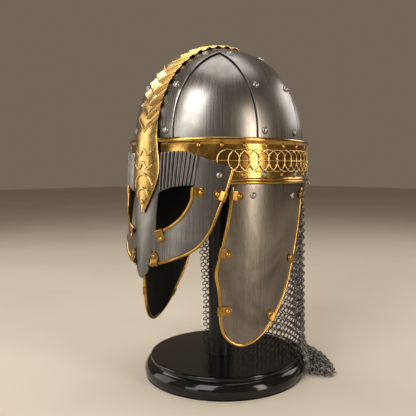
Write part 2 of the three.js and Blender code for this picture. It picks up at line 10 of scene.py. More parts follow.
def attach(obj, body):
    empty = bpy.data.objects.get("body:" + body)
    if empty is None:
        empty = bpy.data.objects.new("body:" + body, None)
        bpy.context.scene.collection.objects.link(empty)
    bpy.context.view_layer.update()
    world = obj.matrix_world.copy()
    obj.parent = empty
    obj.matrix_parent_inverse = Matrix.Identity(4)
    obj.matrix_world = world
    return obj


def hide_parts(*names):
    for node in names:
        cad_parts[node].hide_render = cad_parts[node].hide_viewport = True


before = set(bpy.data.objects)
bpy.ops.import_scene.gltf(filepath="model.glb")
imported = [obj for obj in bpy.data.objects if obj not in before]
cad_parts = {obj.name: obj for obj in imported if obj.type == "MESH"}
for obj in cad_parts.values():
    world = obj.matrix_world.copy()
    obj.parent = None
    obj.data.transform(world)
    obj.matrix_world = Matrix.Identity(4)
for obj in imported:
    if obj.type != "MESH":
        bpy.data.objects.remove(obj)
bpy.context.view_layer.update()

# Sizes in millimetres; a turn is in degrees from the front towards the wearer's left.
MM = 0.001
AXIS_Y = -7.0
MIDDLE = Vector((0.0, AXIS_Y * MM, 0.25))

BASE_PROFILE = (
    (0, 0), (60, 0), (96.5, 0), (98.6, 0.7), (100.3, 3.2), (101.3, 6.5), (101.2, 9.9), (100.2, 13.2),
    (98.3, 16.3), (95.9, 18.4), (93.9, 19.3), (93.2, 20), (93.1, 21), (92.9, 22.4), (92.2, 23.5),
    (91, 24), (60, 24), (0, 24),
)
POST_PROFILE = ((0, 24.1), (14.75, 24.1), (14.75, 120), (14.75, 404.3), (13.6, 405.4), (0, 405.4))

BOWL = {"a": 101.0, "b": 111.0, "rise": 110.8, "spring": 298.0, "edge": 250.0}
PLATE_SHEET = 1.3
STRAP_HALF = 35.0
STRAP_OUT = 2.15
STRAP_RIVETS = {"offset": 26.5, "climbs": (2, 31, 63), "head": (4.2, 3.0)}

BAND = (105.0, 115.0)
BAND_PROFILE = (
    (-1.6, 242.6), (-1.2, 241.9), (-0.2, 241.7), (1.1, 242.1), (1.8, 243.1), (1.8, 244.3), (1.1, 245.3),
    (0.7, 245.7), (1.1, 246.1), (1.3, 246.9), (1, 247.8), (0.3, 248.4), (0, 249.4), (0, 286),
    (0.2, 287.1), (0.8, 288), (1.9, 288.7), (2.6, 289.8), (2.8, 291.2), (2.5, 292.6), (1.6, 293.6),
    (0.3, 293.9), (-1, 293.7), (-1.6, 292.9),
)
BAND_UPPER = {"z": 284.6, "first": 36.5, "step": 13.33, "count": 11, "head": (2.5, 1.8)}
BAND_LOWER = {"z": 252.2, "first": 62.1, "step": 13.1, "count": 9, "brass": (2.4, 1.7), "steel": (3.3, 2.5)}
INTERLACE = {"radius": 12.25, "pitch": 12.25, "z": 268.0, "wire": 0.72, "first": 49.0, "rod": 0.6}

CREST = {"rear": 97.0, "degree": 1.955, "start": 5.6, "pitch": 15.25, "count": 12, "slope": 0.8}
CREST_CLEAR = 0.45
CREST_FLARE = 3.0
LEAF_LEAN = 0.035
# Share of the pitch, half-width, lift
CHEVRON = (
    (0, 16.3, 0.7), (0.12, 16.8, 0.85), (0.26, 17.3, 1.1), (0.42, 17.8, 1.5), (0.58, 18.3, 2.05),
    (0.7, 18.8, 2.6), (0.78, 19.2, 3.1), (0.84, 19.3, 3.35), (0.89, 19, 3.2), (0.925, 18.3, 2.5),
    (0.95, 17.2, 1.5), (0.975, 16.4, 0.8),
)
# Height, half-width, slope left over from the chevrons
LEAF = (
    (299.5, 16.6, 0.8), (294, 18.2, 0.6), (287, 20, 0.28), (280, 21.6, 0), (271, 23.2, 0), (262, 24.2, 0),
    (252, 23.4, 0), (242, 20.2, 0), (232, 15.4, 0), (222, 9.8, 0), (213, 3.9, 0), (208.7, 0.9, 0),
)
# Share of the half-width, share of the rise
ZIGZAG = (
    (-1, 0.7), (-0.78, 0.25), (-0.5, 0), (-0.25, 0.45), (0, 1),
    (0.25, 0.45), (0.5, 0), (0.78, 0.25), (1, 0.7),
)
# Top, foot, half-width
LEAF_ZIGZAGS = ((281, 274.5, 14), (266.5, 258.5, 15.5))
LEAF_ARCHES = ((253, 236.5, 15.8), (237, 226.8, 10))
LEAF_RIVET = {"z": 221.5, "head": (2.8, 2.2)}

OCULAR = {"a": 107.6, "b": 116.7, "lean": 0.035, "from": 278.0}
OCULAR_RIVET = {"turn": 48.3, "z": 251.8, "head": (3.9, 2.9)}
FLUTES = {"count": 10, "height": 2.9, "eye": (12.4, 34.6), "brow": (13, 37.4)}
# Turn, height
BROW_TOP = (
    (0, 276), (15, 277), (23, 278.4), (27, 278.2), (32, 276.1), (37.3, 272.4), (46, 266.9), (51, 262.5),
    (55, 258.6), (57, 257),
)
EYE_TOP = ((11.9, 232.3), (16.3, 235.8), (21.5, 238.9), (25.5, 240.2), (29.3, 240.9), (35, 240.8))
EYE_LOW = (
    (35.2, 235.4), (35, 231), (34.4, 226), (33.6, 221), (32.3, 216), (30.6, 210.5), (28.4, 205),
    (25.9, 200.4), (22.5, 195.3), (18.7, 191.1), (15.5, 188.7), (12.6, 187.1),
)
OCULAR_EDGE = (
    (56.5, 257.4), (54.2, 241.4), (52.1, 228), (50.1, 219), (47.9, 207), (45.6, 194.7), (42.8, 184.9),
    (39.4, 176.2), (33.3, 167.3), (25.3, 160.6), (16.4, 154.6), (7, 151),
)
# Turn and height on the eye hole, then on the outer edge
NASAL_TOP = ((11.5, 230.6, 0, 276), (11.9, 232.3, 6.5, 276.4))
NASAL = (
    (10.6, 186.6, 6, 147), (10.4, 189, 3.6, 140.4), (10.4, 192, 0, 137.7), (10.4, 198, 0, 165),
    (10.4, 208, 0, 200), (10.9, 220, 0, 238),
)
OCULAR_WIRE = {"radius": 1.8, "inset": 1.6, "eye": 1.9, "lift": 0.35}

CHEEK = (102.6, 112.6)
CHEEK_RIVETS = {"spots": ((69, 229.4), (101, 227.4)), "head": (3.7, 2.6)}
CHEEK_FRONT = (
    (56.6, 249.5), (56.4, 239), (55.9, 224.8), (53.6, 197.3), (50.7, 175.3), (47.6, 153.2), (46.7, 139.9),
    (48.2, 125.3), (49.1, 108.5), (49.5, 89.3), (51.4, 75.7), (56.1, 66.1), (62.3, 61.2),
)
CHEEK_REAR = (
    (117.8, 249.5), (117.3, 239), (116.3, 224.8), (113.9, 197.3), (110.9, 175.3), (107.2, 153.2),
    (104.6, 139.9), (101.6, 125.3), (96.9, 108.5), (89.9, 91), (82.8, 76.5), (75, 66.6), (68.5, 62),
)
CHEEK_WIRE = {"radius": 2.1, "lift": -0.65}

CLIP = {
    "sheet": 0.9, "width": 10.5, "length": 12.6, "gap": 0.25, "seat": 0.15,
    "rivet": 8.2, "head": (2.7, 2),
}

MAIL = {"a": 101.5, "b": 111.5, "half": 1.5, "tuck": 6.5, "tuck_from": 117, "tuck_over": 12}
RINGS = {"first": 4.6, "inset": 1.4, "row": 4.5, "columns": 31, "ring": 3.4, "wire": 0.75, "tilt": 34}
# Swell of the curtain, least reach from the base's middle, height
MAIL_DROP = (
    (3.2, 0, 241.4), (0.6, 0, 226), (0, 0, 196), (0, 0, 150), (0, 0, 100), (0, 99, 60), (0, 103.5, 36),
    (0, 106, 21), (0, 108, 11), (0, 113, 5.4), (0, 124, 3.8), (0, 137, 3.4),
)
# Height, turn of the front edge
MAIL_FRONT = ((0, 123), (30, 118.3), (96, 115.9), (148, 113.2), (241.4, 112))
HOOKS = {"count": 25, "first": 116, "span": 128, "z": 241.6, "inset": 0.2, "ring": 4.6, "wire": 0.85}
# The hem heaped on the table, its lengths in metres
HEAP = {"rings": 640, "turns": (126, 234), "inner": 0.109, "depth": 0.029, "low": 0.0045, "rise": 0.013}


# Shapes shared by the pieces
def smooth(table, share):
    """Reads a table's rows as one smooth curve, at a share of its length."""
    last = len(table) - 1
    step = max(0, min(int(share * last), last - 1))
    t = share * last - step
    rows = [table[max(0, min(step + k, last))] for k in (-1, 0, 1, 2)]
    curve = []
    for a, b, c, d in zip(*rows):
        bend = (2 * a - 5 * b + 4 * c - d) * t * t + (3 * b - a - 3 * c + d) * t ** 3
        curve.append(0.5 * (2 * b + (c - a) * t + bend))
    return curve


def reading(table, at):
    """Straight-line reading of a two-column table, its first column rising or falling."""
    rows = sorted(table)
    for (x0, y0), (x1, y1) in zip(rows, rows[1:]):
        if at <= x1:
            return y0 + (y1 - y0) * max(0.0, (at - x0) / (x1 - x0))
    return rows[-1][1]


def wall(a, b, turn, z):
    """A point on an oval wall round the helmet's axis, in metres."""
    angle = math.radians(turn)
    return Vector((a * math.sin(angle), AXIS_Y - b * math.cos(angle), z)) * MM


def wall_out(a, b, turn):
    """The direction straight out of an oval wall."""
    angle = math.radians(turn)
    return Vector((math.sin(angle) / a, -math.cos(angle) / b, 0)).normalized()


def shifted(line, distance, turn_mm):
    """A line of (turn, z) points moved sideways along its wall."""
    moved = []
    for k, (turn, z) in enumerate(line):
        before = line[max(k - 1, 0)]
        after = line[min(k + 1, len(line) - 1)]
        along = Vector(((after[0] - before[0]) * turn_mm, after[1] - before[1])).normalized()
        moved.append((turn + along.y * distance / turn_mm, z - along.x * distance))
    return moved


def everything(bm):
    return bm.verts[:] + bm.edges[:] + bm.faces[:]


def trim_off(bm, point, normal):
    """Cuts away what lies in front of a plane."""
    bmesh.ops.bisect_plane(
        bm, geom=everything(bm), dist=1e-7, plane_co=point, plane_no=normal, clear_outer=True
    )


def bent_sheet(across, along, place):
    """A grid bent so that place(u, v) says where each of its points goes."""
    bm = bmesh.new()
    bmesh.ops.create_grid(bm, x_segments=across, y_segments=along, size=0.5)
    for vert in bm.verts:
        vert.co = place(vert.co.x + 0.5, vert.co.y + 0.5)
    return bm


def face_out(bm):
    """Turns an open sheet's faces away from the helmet's axis."""
    bmesh.ops.remove_doubles(bm, verts=bm.verts, dist=1e-7)
    bmesh.ops.recalc_face_normals(bm, faces=bm.faces)
    bm.normal_update()
    outward = sum(f.normal.dot(f.calc_center_median() - MIDDLE) * f.calc_area() for f in bm.faces)
    if outward < 0:
        bmesh.ops.reverse_faces(bm, faces=bm.faces)


def turned(profile, steps):
    """A profile of (radius, height) points turned round an upright axis."""
    bm = bmesh.new()
    verts = [bm.verts.new((radius * MM, 0, z * MM)) for radius, z in profile]
    edges = [bm.edges.new(pair) for pair in zip(verts, verts[1:])]
    bmesh.ops.spin(
        bm, geom=verts + edges, cent=(0, 0, 0), axis=(0, 0, 1), angle=math.tau, steps=steps, use_merge=True
    )
    bmesh.ops.remove_doubles(bm, verts=bm.verts, dist=1e-7)
    bmesh.ops.recalc_face_normals(bm, faces=bm.faces)
    return bm


def add_wire(bm, points, radii, closed=False):
    """A round wire along a run of points, added to a mesh under way."""
    curve = bpy.data.curves.new("wire", "CURVE")
    curve.dimensions = "3D"
    curve.bevel_depth = 1.0
    curve.bevel_resolution = 3
    curve.use_fill_caps = True
    run = curve.splines.new("POLY")
    run.points.add(len(points) - 1)
    run.use_cyclic_u = closed
    for spot, point, radius in zip(run.points, points, radii):
        spot.co = (*point, 1)
        spot.radius = radius * MM
    holder = bpy.data.objects.new("wire", curve)
    mesh = bpy.data.meshes.new_from_object(holder)
    bm.from_mesh(mesh)
    bpy.data.objects.remove(holder)
    bpy.data.curves.remove(curve)
    bpy.data.meshes.remove(mesh)


def add_rivet(bm, point, outward, radius, height):
    """A domed head over a shorter clenched tail."""
    turn = outward.to_track_quat("Z", "Y").to_matrix().to_4x4()
    size = Matrix.Diagonal((radius * MM, radius * MM, height * MM, 1))
    head = bmesh.ops.create_uvsphere(
        bm, u_segments=20, v_segments=12, radius=1, matrix=Matrix.Translation(point) @ turn @ size
    )
    for vert in head["verts"]:
        sunk = (vert.co - point).dot(outward)
        if sunk < 0:
            vert.co -= outward * sunk * 0.62


def make_piece(name, bm, finishes, nodes=(), sheet=0.0, edge=0.0, angle=38):
    """Makes a finished piece that rides on the helmet, with a sheet's thickness laid inwards."""
    mesh = bpy.data.meshes.new(name)
    bm.to_mesh(mesh)
    bm.free()
    for finish in finishes:
        mesh.materials.append(finish)
    mesh.shade_smooth()
    mesh.set_sharp_from_angle(angle=math.radians(angle))
    piece = bpy.data.objects.new(name, mesh)
    bpy.context.scene.collection.objects.link(piece)
    if sheet:
        wall_sheet = piece.modifiers.new("sheet", "SOLIDIFY")
        wall_sheet.thickness = sheet * MM
        wall_sheet.offset = -1
        wall_sheet.material_offset = len(finishes) - 1
    if edge:
        softened = piece.modifiers.new("edge", "BEVEL")
        softened.width = edge * MM
        softened.segments = 2
        softened.limit_method = "ANGLE"
        softened.angle_limit = math.radians(50)
    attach(piece, "root")
    if nodes:
        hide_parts(*nodes)
    return piece


# Finishes
def new_finish(name):
    """A material with its tree and its shader."""
    finish = bpy.data.materials.new(name)
    finish.use_nodes = True
    tree = finish.node_tree
    return finish, tree, tree.nodes["Principled BSDF"]


def noise(tree, stretch, detail=4.0, rough=0.55, warp=0.0):
    """Noise over Object coordinates, stretched by a scale on each axis."""
    coordinates = tree.nodes.new("ShaderNodeTexCoord")
    mapping = tree.nodes.new("ShaderNodeMapping")
    mapping.inputs["Scale"].default_value = stretch
    pattern = tree.nodes.new("ShaderNodeTexNoise")
    pattern.inputs["Scale"].default_value = 1.0
    pattern.inputs["Detail"].default_value = detail
    pattern.inputs["Roughness"].default_value = rough
    pattern.inputs["Distortion"].default_value = warp
    tree.links.new(coordinates.outputs["Object"], mapping.inputs["Vector"])
    tree.links.new(mapping.outputs["Vector"], pattern.inputs["Vector"])
    return pattern.outputs["Fac"]


def brush_marks(tree, around, up):
    """Fine marks that run up and down the helmet, read round its axis."""
    coordinates = tree.nodes.new("ShaderNodeTexCoord")
    parts = tree.nodes.new("ShaderNodeSeparateXYZ")
    turn = tree.nodes.new("ShaderNodeMath")
    turn.operation = "ARCTAN2"
    joined = tree.nodes.new("ShaderNodeCombineXYZ")
    mapping = tree.nodes.new("ShaderNodeMapping")
    mapping.inputs["Scale"].default_value = (around, 1, up)
    pattern = tree.nodes.new("ShaderNodeTexNoise")
    pattern.inputs["Scale"].default_value = 1.0
    pattern.inputs["Detail"].default_value = 4.0
    pattern.inputs["Roughness"].default_value = 0.65
    tree.links.new(coordinates.outputs["Object"], parts.inputs["Vector"])
    tree.links.new(parts.outputs["X"], turn.inputs[0])
    tree.links.new(parts.outputs["Y"], turn.inputs[1])
    tree.links.new(turn.outputs["Value"], joined.inputs["X"])
    tree.links.new(parts.outputs["Z"], joined.inputs["Z"])
    tree.links.new(joined.outputs["Vector"], mapping.inputs["Vector"])
    tree.links.new(mapping.outputs["Vector"], pattern.inputs["Vector"])
    return pattern.outputs["Fac"]


def spread(tree, value, low, high):
    """Maps the middle of a noise's range onto low to high."""
    node = tree.nodes.new("ShaderNodeMapRange")
    node.inputs["From Min"].default_value = 0.3
    node.inputs["From Max"].default_value = 0.7
    node.inputs["To Min"].default_value = low
    node.inputs["To Max"].default_value = high
    tree.links.new(value, node.inputs["Value"])
    return node.outputs["Result"]


def colours(tree, value, stops):
    """A colour ramp over a value."""
    node = tree.nodes.new("ShaderNodeValToRGB")
    ramp = node.color_ramp
    while len(ramp.elements) < len(stops):
        ramp.elements.new(0.5)
    for element, (place, colour) in zip(ramp.elements, stops):
        element.position = place
        element.color = (*colour, 1)
    tree.links.new(value, node.inputs["Fac"])
    return node.outputs["Color"]


def multiplied(tree, first, second, share):
    """The first colour darkened by the second, as far as a share says."""
    node = tree.nodes.new("ShaderNodeMix")
    node.data_type = "RGBA"
    node.blend_type = "MULTIPLY"
    node.inputs["Factor"].default_value = share
    tree.links.new(first, node.inputs["A"])
    tree.links.new(second, node.inputs["B"])
    return node.outputs["Result"]


def combined(tree, first, second):
    """Two values added."""
    node = tree.nodes.new("ShaderNodeMath")
    node.operation = "ADD"
    tree.links.new(first, node.inputs[0])
    tree.links.new(second, node.inputs[1])
    return node.outputs["Value"]


def bump(tree, shader, height, strength, distance):
    """Small relief that is too fine to model."""
    node = tree.nodes.new("ShaderNodeBump")
    node.inputs["Strength"].default_value = strength
    node.inputs["Distance"].default_value = distance
    tree.links.new(height, node.inputs["Height"])
    tree.links.new(node.outputs["Normal"], shader.inputs["Normal"])


def brushed_steel(name, dark, light, streak, gloss):
    """Steel with brush marks running up it, cloudy patina and small stains."""
    finish, tree, shader = new_finish(name)
    shader.inputs["Metallic"].default_value = 1.0
    cloud = noise(tree, (16, 16, 13), detail=5, rough=0.6, warp=0.6)
    brush = brush_marks(tree, *streak)
    stain = noise(tree, (95, 95, 70), detail=6, rough=0.7, warp=0.4)
    plain = colours(tree, cloud, ((0.3, dark), (0.7, light)))
    marks = colours(tree, brush, ((0.25, (0.72, 0.72, 0.72)), (0.7, (1, 1, 1))))
    stains = colours(tree, stain, ((0.3, (0.55, 0.52, 0.48)), (0.46, (1, 1, 1))))
    streaked = multiplied(tree, plain, marks, 0.6)
    tree.links.new(multiplied(tree, streaked, stains, 0.15), shader.inputs["Base Color"])
    rough = combined(tree, spread(tree, brush, gloss[0], gloss[1]), spread(tree, cloud, 0.05, -0.05))
    tree.links.new(rough, shader.inputs["Roughness"])
    bump(tree, shader, brush, 0.1, 0.00012)
    return finish


def polished_brass(name, bright, deep, gloss, corner):
    """Brass with cloudy tone, brown tarnish and painted shade in corners narrower than corner, and
    polishing marks.
    """
    finish, tree, shader = new_finish(name)
    shader.inputs["Metallic"].default_value = 1.0
    cloud = noise(tree, (38, 38, 30), detail=5, rough=0.6, warp=0.8)
    marks = noise(tree, (420, 420, 160), detail=3, rough=0.6)
    spots = noise(tree, (150, 150, 150), detail=6, rough=0.72)
    plain = colours(tree, cloud, ((0.36, deep), (0.68, bright)))
    tarnish = colours(tree, spots, ((0.25, (0.42, 0.3, 0.16)), (0.43, (1, 1, 1))))
    spotted = multiplied(tree, plain, tarnish, 0.7)
    # Occlusion darkens the colour in corners, grooves and beside raised parts: partly brown tarnish, partly
    # painted shade.
    corners = tree.nodes.new("ShaderNodeAmbientOcclusion")
    corners.samples = 8
    corners.inputs["Distance"].default_value = corner * MM
    tarnish_and_painted_shade = colours(tree, corners.outputs["AO"], ((0.35, (0.24, 0.13, 0.04)), (0.82, (1, 1, 1))))
    tree.links.new(multiplied(tree, spotted, tarnish_and_painted_shade, 0.85), shader.inputs["Base Color"])
    rough = combined(tree, spread(tree, marks, gloss[0], gloss[1]), spread(tree, spots, 0.08, -0.04))
    tree.links.new(rough, shader.inputs["Roughness"])
    bump(tree, shader, combined(tree, marks, cloud), 0.1, 0.00008)
    return finish


def near_black_inside(name):
    """The plates' inner faces, near black and dull."""
    finish, tree, shader = new_finish(name)
    shader.inputs["Metallic"].default_value = 0.3
    cloud = noise(tree, (40, 40, 40), detail=6, rough=0.65)
    tone = colours(tree, cloud, ((0.3, (0.004, 0.004, 0.004)), (0.7, (0.012, 0.011, 0.01))))
    tree.links.new(tone, shader.inputs["Base Color"])
    tree.links.new(spread(tree, cloud, 0.6, 0.85), shader.inputs["Roughness"])
    bump(tree, shader, noise(tree, (300, 300, 300), detail=4), 0.2, 0.0004)
    return finish


def mail_wire(name):
    """Oiled dark steel wire with brighter rubbed places."""
    finish, tree, shader = new_finish(name)
    shader.inputs["Metallic"].default_value = 1.0
    rubbed = noise(tree, (120, 120, 120), detail=5, rough=0.65)
    cloud = noise(tree, (22, 22, 22), detail=3)
    tone = colours(tree, rubbed, ((0.3, (0.09, 0.087, 0.083)), (0.7, (0.33, 0.32, 0.305))))
    dull = colours(tree, cloud, ((0.3, (0.6, 0.58, 0.55)), (0.65, (1, 1, 1))))
    tree.links.new(multiplied(tree, tone, dull, 0.8), shader.inputs["Base Color"])
    tree.links.new(spread(tree, rubbed, 0.4, 0.22), shader.inputs["Roughness"])
    bump(tree, shader, noise(tree, (900, 900, 900), detail=2), 0.15, 0.0003)
    return finish


def black_lacquer(name, gloss, coat):
    """Glossy black lacquer on turned wood, with faint dust and a slight waviness."""
    finish, tree, shader = new_finish(name)
    dust = noise(tree, (60, 60, 60), detail=7, rough=0.75)
    tone = colours(tree, dust, ((0.4, (0.003, 0.003, 0.003)), (0.75, (0.011, 0.01, 0.009))))
    tree.links.new(tone, shader.inputs["Base Color"])
    tree.links.new(spread(tree, dust, gloss, gloss + 0.1), shader.inputs["Roughness"])
    shader.inputs["Specular IOR Level"].default_value = 0.25
    shader.inputs["Coat Weight"].default_value = coat
    shader.inputs["Coat Roughness"].default_value = 0.06
    bump(tree, shader, noise(tree, (35, 35, 90), detail=3), 0.03, 0.001)
    return finish


BOWL_STEEL = brushed_steel("bowl steel", (0.17, 0.163, 0.153), (0.38, 0.365, 0.342), (75, 9), (0.23, 0.37))
MASK_STEEL = brushed_steel("mask steel", (0.12, 0.115, 0.109), (0.29, 0.278, 0.262), (75, 9), (0.24, 0.37))
# The cheek steel's warm brown tint is painted reflection of warm brown surroundings.
CHEEK_STEEL = brushed_steel("cheek steel", (0.11, 0.1, 0.088), (0.31, 0.28, 0.244), (60, 5), (0.19, 0.33))
RIVET_STEEL = brushed_steel("rivet steel", (0.24, 0.232, 0.22), (0.42, 0.41, 0.39), (60, 60), (0.25, 0.34))
BAND_BRASS = polished_brass("band brass", (0.58, 0.36, 0.1), (0.24, 0.125, 0.027), (0.12, 0.24), 4)
CREST_BRASS = polished_brass("crest brass", (0.66, 0.45, 0.165), (0.42, 0.265, 0.08), (0.19, 0.3), 4.5)
TRIM_BRASS = polished_brass("trim brass", (0.56, 0.345, 0.09), (0.32, 0.18, 0.04), (0.13, 0.24), 2.2)
# The wire brass is paler than the other brass: painted highlight for the light the thin raised wires catch.
WIRE_BRASS = polished_brass("wire brass", (0.82, 0.61, 0.28), (0.62, 0.43, 0.165), (0.16, 0.26), 0.3)
CLIP_BRASS = polished_brass("clip brass", (0.4, 0.235, 0.058), (0.23, 0.124, 0.027), (0.2, 0.32), 2.2)
INNER_BLACK = near_black_inside("near black inside")
MAIL_WIRE = mail_wire("mail wire")
LACQUER = black_lacquer("black lacquer", 0.07, 0.15)
POST_LACQUER = black_lacquer("post lacquer", 0.36, 0.0)


# Stand
stand = turned([tuple(smooth(BASE_PROFILE, k / 68)) for k in range(69)], 128)
make_piece("turned_base", stand, [LACQUER], ["stand_base"], angle=60)
post = turned(POST_PROFILE, 64)
bmesh.ops.translate(post, vec=(0, AXIS_Y * MM, 0), verts=post.verts)
make_piece("turned_post", post, [POST_LACQUER], ["stand_post"], angle=40)


# Bowl plates and straps
def bowl_shell(out):
    """Half an oval ball over an upright wall, at a distance out of the bowl's face."""
    bm = bmesh.new()
    bmesh.ops.create_uvsphere(bm, u_segments=128, v_segments=64, radius=1)
    trim_off(bm, (0, 0, 0), (0, 0, -1))
    size = Vector((BOWL["a"] + out, BOWL["b"] + out, BOWL["rise"] + out)) * MM
    bmesh.ops.scale(bm, vec=size, verts=bm.verts)
    bmesh.ops.translate(bm, vec=(0, AXIS_Y * MM, BOWL["spring"] * MM), verts=bm.verts)
    rim = [edge for edge in bm.edges if edge.is_boundary]
    for _ in range(4):
        lower = bmesh.ops.extrude_edge_only(bm, edges=rim)["geom"]
        drop = (BOWL["edge"] - BOWL["spring"]) * MM / 4
        low_verts = [v for v in lower if isinstance(v, bmesh.types.BMVert)]
        bmesh.ops.translate(bm, vec=(0, 0, drop), verts=low_verts)
        rim = [e for e in lower if isinstance(e, bmesh.types.BMEdge)]
    return bm


HEART = Vector((0, AXIS_Y * MM, 0))
BOWL_FACES = [BOWL_STEEL, INNER_BLACK]
for side, x_out in (("left", -1), ("right", 1)):
    for end, y_out in (("front", 1), ("back", -1)):
        shell = bowl_shell(0)
        trim_off(shell, HEART, (x_out, 0, 0))
        trim_off(shell, HEART, (0, y_out, 0))
        face_out(shell)
        node = f"bowl_{end}_{side}"
        make_piece(f"{node}_plate", shell, BOWL_FACES, [node], sheet=PLATE_SHEET, edge=0.3)

half = STRAP_HALF * MM
long_strap = bowl_shell(STRAP_OUT)
trim_off(long_strap, (half, 0, 0), (1, 0, 0))
trim_off(long_strap, (-half, 0, 0), (-1, 0, 0))
face_out(long_strap)
make_piece("long_strap", long_strap, BOWL_FACES, ["strap_long"], sheet=PLATE_SHEET, edge=0.45)
for side, sign in (("left", 1), ("right", -1)):
    strap = bowl_shell(STRAP_OUT)
    trim_off(strap, HEART + Vector((0, half, 0)), (0, 1, 0))
    trim_off(strap, HEART - Vector((0, half, 0)), (0, -1, 0))
    trim_off(strap, (sign * (half + 0.3 * MM), 0, 0), (-sign, 0, 0))
    face_out(strap)
    node = f"strap_{side}"
    make_piece(f"side_{node}", strap, BOWL_FACES, [node], sheet=PLATE_SHEET, edge=0.45)


def long_strap_point(x, climb, out):
    """A point over the crown, climbing from the front."""
    narrow = math.sqrt(1 - (x / (BOWL["a"] + out)) ** 2)
    y = AXIS_Y - (BOWL["b"] + out) * narrow * math.cos(math.radians(climb))
    z = BOWL["spring"] + (BOWL["rise"] + out) * narrow * math.sin(math.radians(climb))
    return Vector((x, y, z))


def side_strap_point(y, climb, out):
    """A point over the crown, climbing from the wearer's left."""
    narrow = math.sqrt(1 - (y / (BOWL["b"] + out)) ** 2)
    x = (BOWL["a"] + out) * narrow * math.cos(math.radians(climb))
    z = BOWL["spring"] + (BOWL["rise"] + out) * narrow * math.sin(math.radians(climb))
    return Vector((x, AXIS_Y + y, z))


def dome_out(point):
    """The direction straight out of the bowl's dome."""
    x = point.x / BOWL["a"] ** 2
    y = (point.y - AXIS_Y) / BOWL["b"] ** 2
    z = (point.z - BOWL["spring"]) / BOWL["rise"] ** 2
    return Vector((x, y, z)).normalized()


strap_heads = bmesh.new()
for climb in STRAP_RIVETS["climbs"]:
    for across in (STRAP_RIVETS["offset"], -STRAP_RIVETS["offset"]):
        front = long_strap_point(across, climb, STRAP_OUT)
        flank = side_strap_point(across, climb, STRAP_OUT)
        back = Vector((front.x, 2 * AXIS_Y - front.y, front.z))
        other = Vector((-flank.x, flank.y, flank.z))
        for spot in (front, back, flank, other):
            add_rivet(strap_heads, spot * MM, dome_out(spot), *STRAP_RIVETS["head"])
make_piece("strap_rivets", strap_heads, [RIVET_STEEL])


# Brow band
band = turned([(1000 + offset * 9, z) for offset, z in BAND_PROFILE + BAND_PROFILE[:1]], 224)
bmesh.ops.scale(band, vec=(BAND[0] * MM, BAND[1] * MM, 1), verts=band.verts)
bmesh.ops.translate(band, vec=(0, AXIS_Y * MM, 0), verts=band.verts)
make_piece("brow_band_hoop", band, [BAND_BRASS], ["brow_band"], angle=45)

band_heads = bmesh.new()
steel_heads = bmesh.new()


def band_head(bm, row, k, sign, head):
    """The rivet at place k of a row on the band."""
    turn = sign * (row["first"] + row["step"] * k)
    add_rivet(bm, wall(*BAND, turn, row["z"]), wall_out(*BAND, turn), *head)


for sign in (1, -1):
    for k in range(BAND_UPPER["count"]):
        band_head(band_heads, BAND_UPPER, k, sign, BAND_UPPER["head"])
    for k in range(BAND_LOWER["count"]):
        if k % 2:
            band_head(steel_heads, BAND_LOWER, k, sign, BAND_LOWER["steel"])
        else:
            band_head(band_heads, BAND_LOWER, k, sign, BAND_LOWER["brass"])
make_piece("band_brass_rivets", band_heads, [TRIM_BRASS])
make_piece("band_steel_rivets", steel_heads, [RIVET_STEEL])


def band_turns():
    """Turns of the interlaced rings, stepped along the band from the back to both fronts."""
    turns = [180.0]
    while turns[-1] > INTERLACE["first"]:
        angle = math.radians(turns[-1])
        run = math.hypot(BAND[0] * math.cos(angle), BAND[1] * math.sin(angle))
        turns.append(turns[-1] - math.degrees(INTERLACE["pitch"] / run))
    return turns[:-1]


interlace = bmesh.new()
for turn in band_turns():
    for sign in (1, -1) if turn < 180 else (1,):
        loop = []
        for k in range(36):
            angle = math.tau * k / 36
            swing = math.degrees(INTERLACE["radius"] * math.cos(angle) / 110)
            out = 1 + 0.38 * math.sin(2 * angle)
            z = INTERLACE["z"] + INTERLACE["radius"] * math.sin(angle)
            loop.append(wall(BAND[0] + out, BAND[1] + out, sign * turn + swing, z))
        add_wire(interlace, loop, [INTERLACE["wire"]] * len(loop), closed=True)
for sign in (1, -1):
    line = [wall(BAND[0] + 0.9, BAND[1] + 0.9, sign * (40 + 2 * k), INTERLACE["z"]) for k in range(71)]
    add_wire(interlace, line, [INTERLACE["rod"]] * len(line))
bmesh.ops.remove_doubles(interlace, verts=interlace.verts, dist=1e-7)
bmesh.ops.recalc_face_normals(interlace, faces=interlace.faces)
make_piece("band_interlace", interlace, [WIRE_BRASS], angle=80)


# Crest of chevrons and the leaf at its foot
def crest_point(x, run, lift):
    """A point on the crest: run is measured from its rear end, lift from its underside."""
    climb = CREST["rear"] - run / CREST["degree"]
    if climb >= 0:
        flare = CREST_FLARE * max(0.0, 1 - climb / 14) ** 2
        return long_strap_point(x, climb, STRAP_OUT + CREST_CLEAR + flare + lift)
    below = run - CREST["rear"] * CREST["degree"]
    point = long_strap_point(x, 0, STRAP_OUT + CREST_CLEAR + CREST_FLARE + LEAF_LEAN * below + lift)
    point.z -= below
    return point


CHEVRON_ROWS = []
for k in range(CREST["count"]):
    for share, width, lift in CHEVRON:
        CHEVRON_ROWS.append((CREST["start"] + (k + share) * CREST["pitch"], width, lift))
CHEVRON_ROWS.append((CREST["start"] + CREST["count"] * CREST["pitch"], 16.3, 0.9))


def chevron_place(u, v):
    """Where the crest's sheet goes: u across it, v along it."""
    run, width, lift = CHEVRON_ROWS[round(v * (len(CHEVRON_ROWS) - 1))]
    share = 2 * u - 1
    x = width * share
    crown = 0.5 * (1 - abs(share)) ** 2
    return crest_point(x, run - CREST["slope"] * abs(x), lift + crown) * MM


chevrons = bent_sheet(36, len(CHEVRON_ROWS) - 1, chevron_place)
face_out(chevrons)
CREST_FACES = [CREST_BRASS, CREST_BRASS]
make_piece("crest_chevrons", chevrons, CREST_FACES, ["crest"], sheet=0.9, edge=0.2, angle=50)


def leaf_run(z):
    """How far along the crest a height on the leaf lies."""
    return CREST["rear"] * CREST["degree"] + BOWL["spring"] - z


def leaf_lift(share):
    """The leaf's swell, at a share of its half-width."""
    return 1.5 + 1.5 * (1 - share * share)


